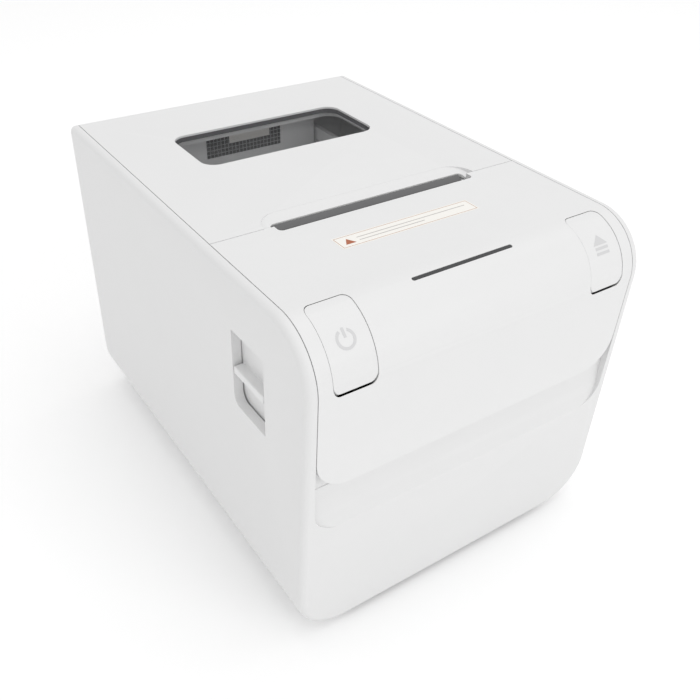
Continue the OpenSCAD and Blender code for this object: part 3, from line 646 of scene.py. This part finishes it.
# The lip's faces behind the paper slot take the dark grey painted shade.
LIP_FOOT, LIP_BACK = 130.3, -26.2
for polygon in liner.data.polygons:
    if polygon.center.z > LIP_FOOT * MM and polygon.center.y < LIP_BACK * MM:
        polygon.material_index = 1
gear_white = finish(
    "gear_white", (0.7, 0.68, 0.6), 0.42,
    grain=2000.0, depth=0.01, blotch=0.06, wear=0.1,
)
blade_steel = finish(
    "blade_steel", (0.5, 0.51, 0.52), 0.26, 1.0,
    grain=2600.0, depth=0.004, blotch=0.15, wear=0.2, spread=0.2,
)
dress(gear_white, "platen_bushes", "platen_gear", "upper_idler", "lower_idler")
dress(blade_steel, "fixed_blade", "moving_blade")
WAFFLE_PITCH = 1.8
mid_grey = finish(
    "mid_grey", (0.32, 0.322, 0.325), 0.55,
    grain=2200.0, depth=0.01, blotch=0.06, wear=0.0,
)
waffle_cells = {
    "Columns": 21,
    "Rows": 5,
    "Step X": WAFFLE_PITCH * MM,
    "Step Y": WAFFLE_PITCH * MM,
    "Size": (0.0013, 0.0013, 0.0005),
    "Material": black_plastic,
}
waffle = grown(BLOCK_GRID, "apron_waffle", waffle_cells, "lid", [at(2.7, 75.8, 118.6, 90)])
APRON_Y = 76.0
X_Z = (0, 2)
panel = [rectangle(-16, 21.4, 114.2, 123)]
flat_prism("apron_panel", panel, APRON_Y - 0.15, APRON_Y, mid_grey, "lid", X_Z, 1)
tag_shape = [rectangle(-5, 15.5, 119.6, 126.2)]
tag = flat_prism("apron_label", tag_shape, 75.35, 75.45, label_paper, "lid", X_Z, 1)
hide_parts("liner_sticker")

# ---- Paper bin ----
# A round-bottomed grey trough for the roll, screwed to four bosses of the case; its pale grey is partly painted
# light. Its right end has an opening. The paper sensor is a plain block against its front.
dress(interior_grey_painted_light, "paper_bin")
dress(screw_steel, "bin_screws")
dress(black_plastic, "paper_sensor")

# ---- Platen ----
# The black rubber roller on its steel shaft rides in the lid and presses the paper on the
# print head when the lid is shut; a gear on its right end drives it.
dress(black_rubber, "platen_rubber")
dress(screw_steel, "platen_shaft")

# ---- Print mechanism ----
# A folded zinc-plated frame holds the sprung print head, the latch shaft, the feed motor
# and the gear train that turns the platen.
zinc_sheet = finish(
    "zinc_sheet", (0.5, 0.51, 0.52), 0.4, 1.0,
    grain=700.0, depth=0.004, blotch=0.2, wear=0.2, spread=0.25,
)
alloy = finish(
    "alloy", (0.6, 0.61, 0.63), 0.36, 1.0,
    grain=1600.0, depth=0.01, blotch=0.1, wear=0.2, spread=0.15,
)
ceramic = finish(
    "ceramic", (0.7, 0.66, 0.55), 0.2,
    grain=1200.0, depth=0.002, blotch=0.05, wear=0.0, coat=0.4,
)
motor_can = finish(
    "motor_can", (0.46, 0.47, 0.49), 0.34, 1.0,
    grain=1500.0, depth=0.005, blotch=0.12, wear=0.2,
)
brass = finish(
    "brass", (0.62, 0.45, 0.2), 0.3, 1.0,
    grain=1500.0, depth=0.005, blotch=0.12, wear=0.3,
)
dress(zinc_sheet, "mech_frame", "spring_bracket")
dress(screw_steel, "frame_screws", "head_pin", "gear_studs")
dress(ceramic, "print_head")
dress(alloy, "head_heatsink")
dress(grey_plastic, "latch_shaft")
dress(motor_can, "feed_motor", "cutter_motor")
dress(brass, "feed_pinion", "cutter_pinion")


def coil_tree():
    """Round wire wound into a compression spring."""
    tree = bpy.data.node_groups.new("coil", "GeometryNodeTree")
    add_socket(tree, "Turns", "NodeSocketFloat", 5.0)
    add_socket(tree, "Radius", "NodeSocketFloat", 0.002)
    add_socket(tree, "Length", "NodeSocketFloat", 0.007)
    add_socket(tree, "Wire", "NodeSocketFloat", 0.0003)
    add_socket(tree, "Material", "NodeSocketMaterial")
    add_socket(tree, "Geometry", "NodeSocketGeometry", way="OUTPUT")
    given = tree.nodes.new("NodeGroupInput").outputs
    spiral = tree.nodes.new("GeometryNodeCurveSpiral")
    spiral.inputs["Resolution"].default_value = 28
    for socket, source in (
        ("Rotations", "Turns"),
        ("Start Radius", "Radius"),
        ("End Radius", "Radius"),
        ("Height", "Length"),
    ):
        tree.links.new(given[source], spiral.inputs[socket])
    section = tree.nodes.new("GeometryNodeCurvePrimitiveCircle")
    section.inputs["Resolution"].default_value = 10
    tree.links.new(given["Wire"], section.inputs["Radius"])
    tube = tree.nodes.new("GeometryNodeCurveToMesh")
    tube.inputs["Fill Caps"].default_value = True
    tree.links.new(spiral.outputs["Curve"], tube.inputs["Curve"])
    tree.links.new(section.outputs["Curve"], tube.inputs["Profile Curve"])
    return close_tree(tree, tube.outputs["Mesh"], given)


COIL = coil_tree()
HEAD_LEAN = 15
head_turn = at(0, -25.6166, 108.2271, HEAD_LEAN)
head_wire = {"Turns": 5.0, "Radius": 2.2 * MM, "Length": 6.3 * MM, "Wire": 0.3 * MM, "Material": screw_steel}
coil_spots = [head_turn @ at(x, -11.6, 0, -90) for x in (-26, 26)]
head_coils = grown(COIL, "head_coils", head_wire, "base", coil_spots)
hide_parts("head_springs")
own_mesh(head_coils)

# ---- Cutter ----
# Sheet-metal frame over the paper path: a motor turns a cross shaft whose two pinions push
# the racks of the blade carrier, so the V-shaped blade shears the paper on the fixed one.
# The cutter cover is zinc sheet like its frame, but it gets a near-black finish: painted shade for the paper
# slot it shows through.
cover_painted_shade = finish(
    "painted_shade_sheet", (0.06, 0.06, 0.062), 0.5, 0.4,
    grain=900.0, depth=0.01, blotch=0.2, wear=0.2,
)
dress(zinc_sheet, "cutter_frame")
dress(cover_painted_shade, "cutter_cover")
dress(black_plastic, "blade_carrier")
dress(screw_steel, "cutter_shaft")

# ---- Open lever ----
# A white slider in the left wall: its ledge stands in the pocket for a fingertip, and a
# spring below pushes it back up after it has freed the lid.
lever = soften(merged_mesh("open_lever"), "lever_skin", cover_white, "lever", ["open_lever"], 0.5)
lever_wire = {"Turns": 6.0, "Radius": 2 * MM, "Length": 13.3 * MM, "Wire": 0.3 * MM, "Material": screw_steel}
lever_coil = grown(COIL, "lever_coil", lever_wire, "base", [at(-62, -64.4, 62.3)])
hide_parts("lever_spring")
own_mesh(lever_coil)

# ---- Main board and sockets ----
# The control board lies on four stays of the floor plate; its sockets for power, USB,
# network and cash drawer look out through the back panel.
dress(screw_steel, "board_screws")
dress(black_plastic, "buzzer", "power_inlet", "drawer_port")
dress(zinc_sheet, "usb_port", "network_port")
gold = finish("gold", (0.7, 0.5, 0.18), 0.25, 1.0, grain=2000.0, depth=0.002, blotch=0.1, wear=0.1)
leg_rows = {
    "Columns": 14,
    "Rows": 2,
    "Step X": 1.05 * MM,
    "Step Y": 17.2 * MM,
    "Size": (0.0004, 0.0014, 0.0004),
    "Material": screw_steel,
}
leg_spots = [at(-12, 32, 11.8, 0, turn) for turn in (0, 90)]
chip_legs = grown(BLOCK_GRID, "chip_legs", leg_rows, "base", leg_spots)
contact_row = {
    "Columns": 8,
    "Rows": 1,
    "Step X": 1.02 * MM,
    "Step Y": 1.0 * MM,
    "Size": (0.0004, 0.009, 0.0004),
    "Material": gold,
}
contact_spots = [at(x, 85, 14.4) for x in (6, 29.5)]
contacts = grown(BLOCK_GRID, "socket_contacts", contact_row, "base", contact_spots)
tongue = [rectangle(-20.6, -15.4, 80, 91)]
flat_prism("usb_tongue", tongue, 16.2, 18.0, label_paper, "base")
